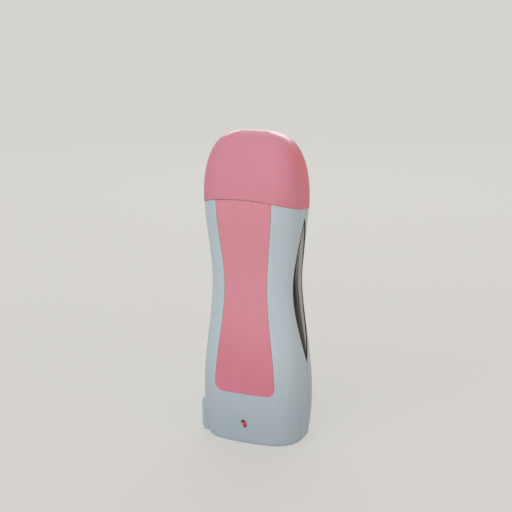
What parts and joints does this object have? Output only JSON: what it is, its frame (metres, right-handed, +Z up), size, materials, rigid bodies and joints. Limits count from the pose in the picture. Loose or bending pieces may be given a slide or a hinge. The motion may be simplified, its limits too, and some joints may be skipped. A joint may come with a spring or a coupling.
{
  "type": "roll-on wax heater",
  "caption": "Hand-held roll-on wax heater: waisted two-shell housing with grip panel, sealed side windows, rocker switch, lift-off cap and lift-out wax cartridge with roller.",
  "frame": {"origin": "centre of the flat base, on the surface it stands on", "axes": "+Z up along the housing, the grip panel and lamp face -Y, the switch is on -X"},
  "size_m": [0.0711, 0.0484, 0.2],
  "materials": {
    "shell_plastic": "satin moulded ABS, pale blue-grey",
    "cap_plastic": "satin moulded plastic, pink",
    "panel_plastic": "satin moulded plastic, pink",
    "window_plastic": "smoked clear polycarbonate",
    "tank_plastic": "translucent polypropylene",
    "wax": "solid honey wax",
    "roller_plastic": "white moulded plastic",
    "inner_plastic": "heat-resistant moulded plastic",
    "steel": "zinc-plated steel",
    "aluminium": "rolled aluminium plate",
    "heater_ceramic": "ceramic heater in an insulating sleeve",
    "fuse_body": "thermal cut-out can",
    "board": "glass-epoxy board",
    "lamp": "red translucent acrylic",
    "inlet_plastic": "black nylon",
    "contact_brass": "brass contacts",
    "seal_rubber": "black elastomer window seal"
  },
  "bodies": {
    "housing": {"front_shell": "shell_plastic", "rear_shell": "shell_plastic", "grip_panel": "panel_plastic", "window_left": "window_plastic", "window_right": "window_plastic", "window_seal_left": "seal_rubber", "window_seal_right": "seal_rubber", "neck_collar": "shell_plastic", "cartridge_cradle": "inner_plastic", "heating_plate": "aluminium", "ptc_heater": "heater_ceramic", "heater_clip": "steel", "thermal_fuse": "fuse_body", "indicator_lens": "lamp", "circuit_board": "board", "indicator_led": "lamp", "board_screw_1": "steel", "board_screw_2": "steel", "board_screw_3": "steel", "board_screw_4": "steel", "switch_body": "shell_plastic", "switch_tab_upper": "contact_brass", "switch_tab_lower": "contact_brass", "inlet_pin_left": "contact_brass", "inlet_pin_right": "contact_brass", "power_inlet": "inlet_plastic", "shell_screw_left": "steel", "shell_screw_right": "steel"},
    "cartridge": {"cartridge_tank": "tank_plastic", "wax_fill": "wax", "roller_frame": "roller_plastic"},
    "roller": {"roller_sleeve": "roller_plastic", "roller_axle": "steel"},
    "cap": {"cap": "cap_plastic"},
    "rocker": {"switch_rocker": "shell_plastic"}
  },
  "joints": [
    {"name": "cartridge_lift", "type": "slide", "parent": "housing", "child": "cartridge", "axis": [0, 0, 1], "range_m": [0, 0.125]},
    {"name": "cap_lift", "type": "slide", "parent": "cartridge", "child": "cap", "axis": [0, 0, 1], "range_m": [0, 0.05]},
    {"name": "roller_spin", "type": "hinge", "parent": "cartridge", "child": "roller", "pos_m": [0, -0.0015, 0.1765], "axis": [1, 0, 0], "continuous": true},
    {"name": "switch_rock", "type": "hinge", "parent": "housing", "child": "rocker", "pos_m": [-0.0331, -0.0035, 0.0114], "axis": [0, -1, 0], "range_deg": [0, 16]}
  ]
}
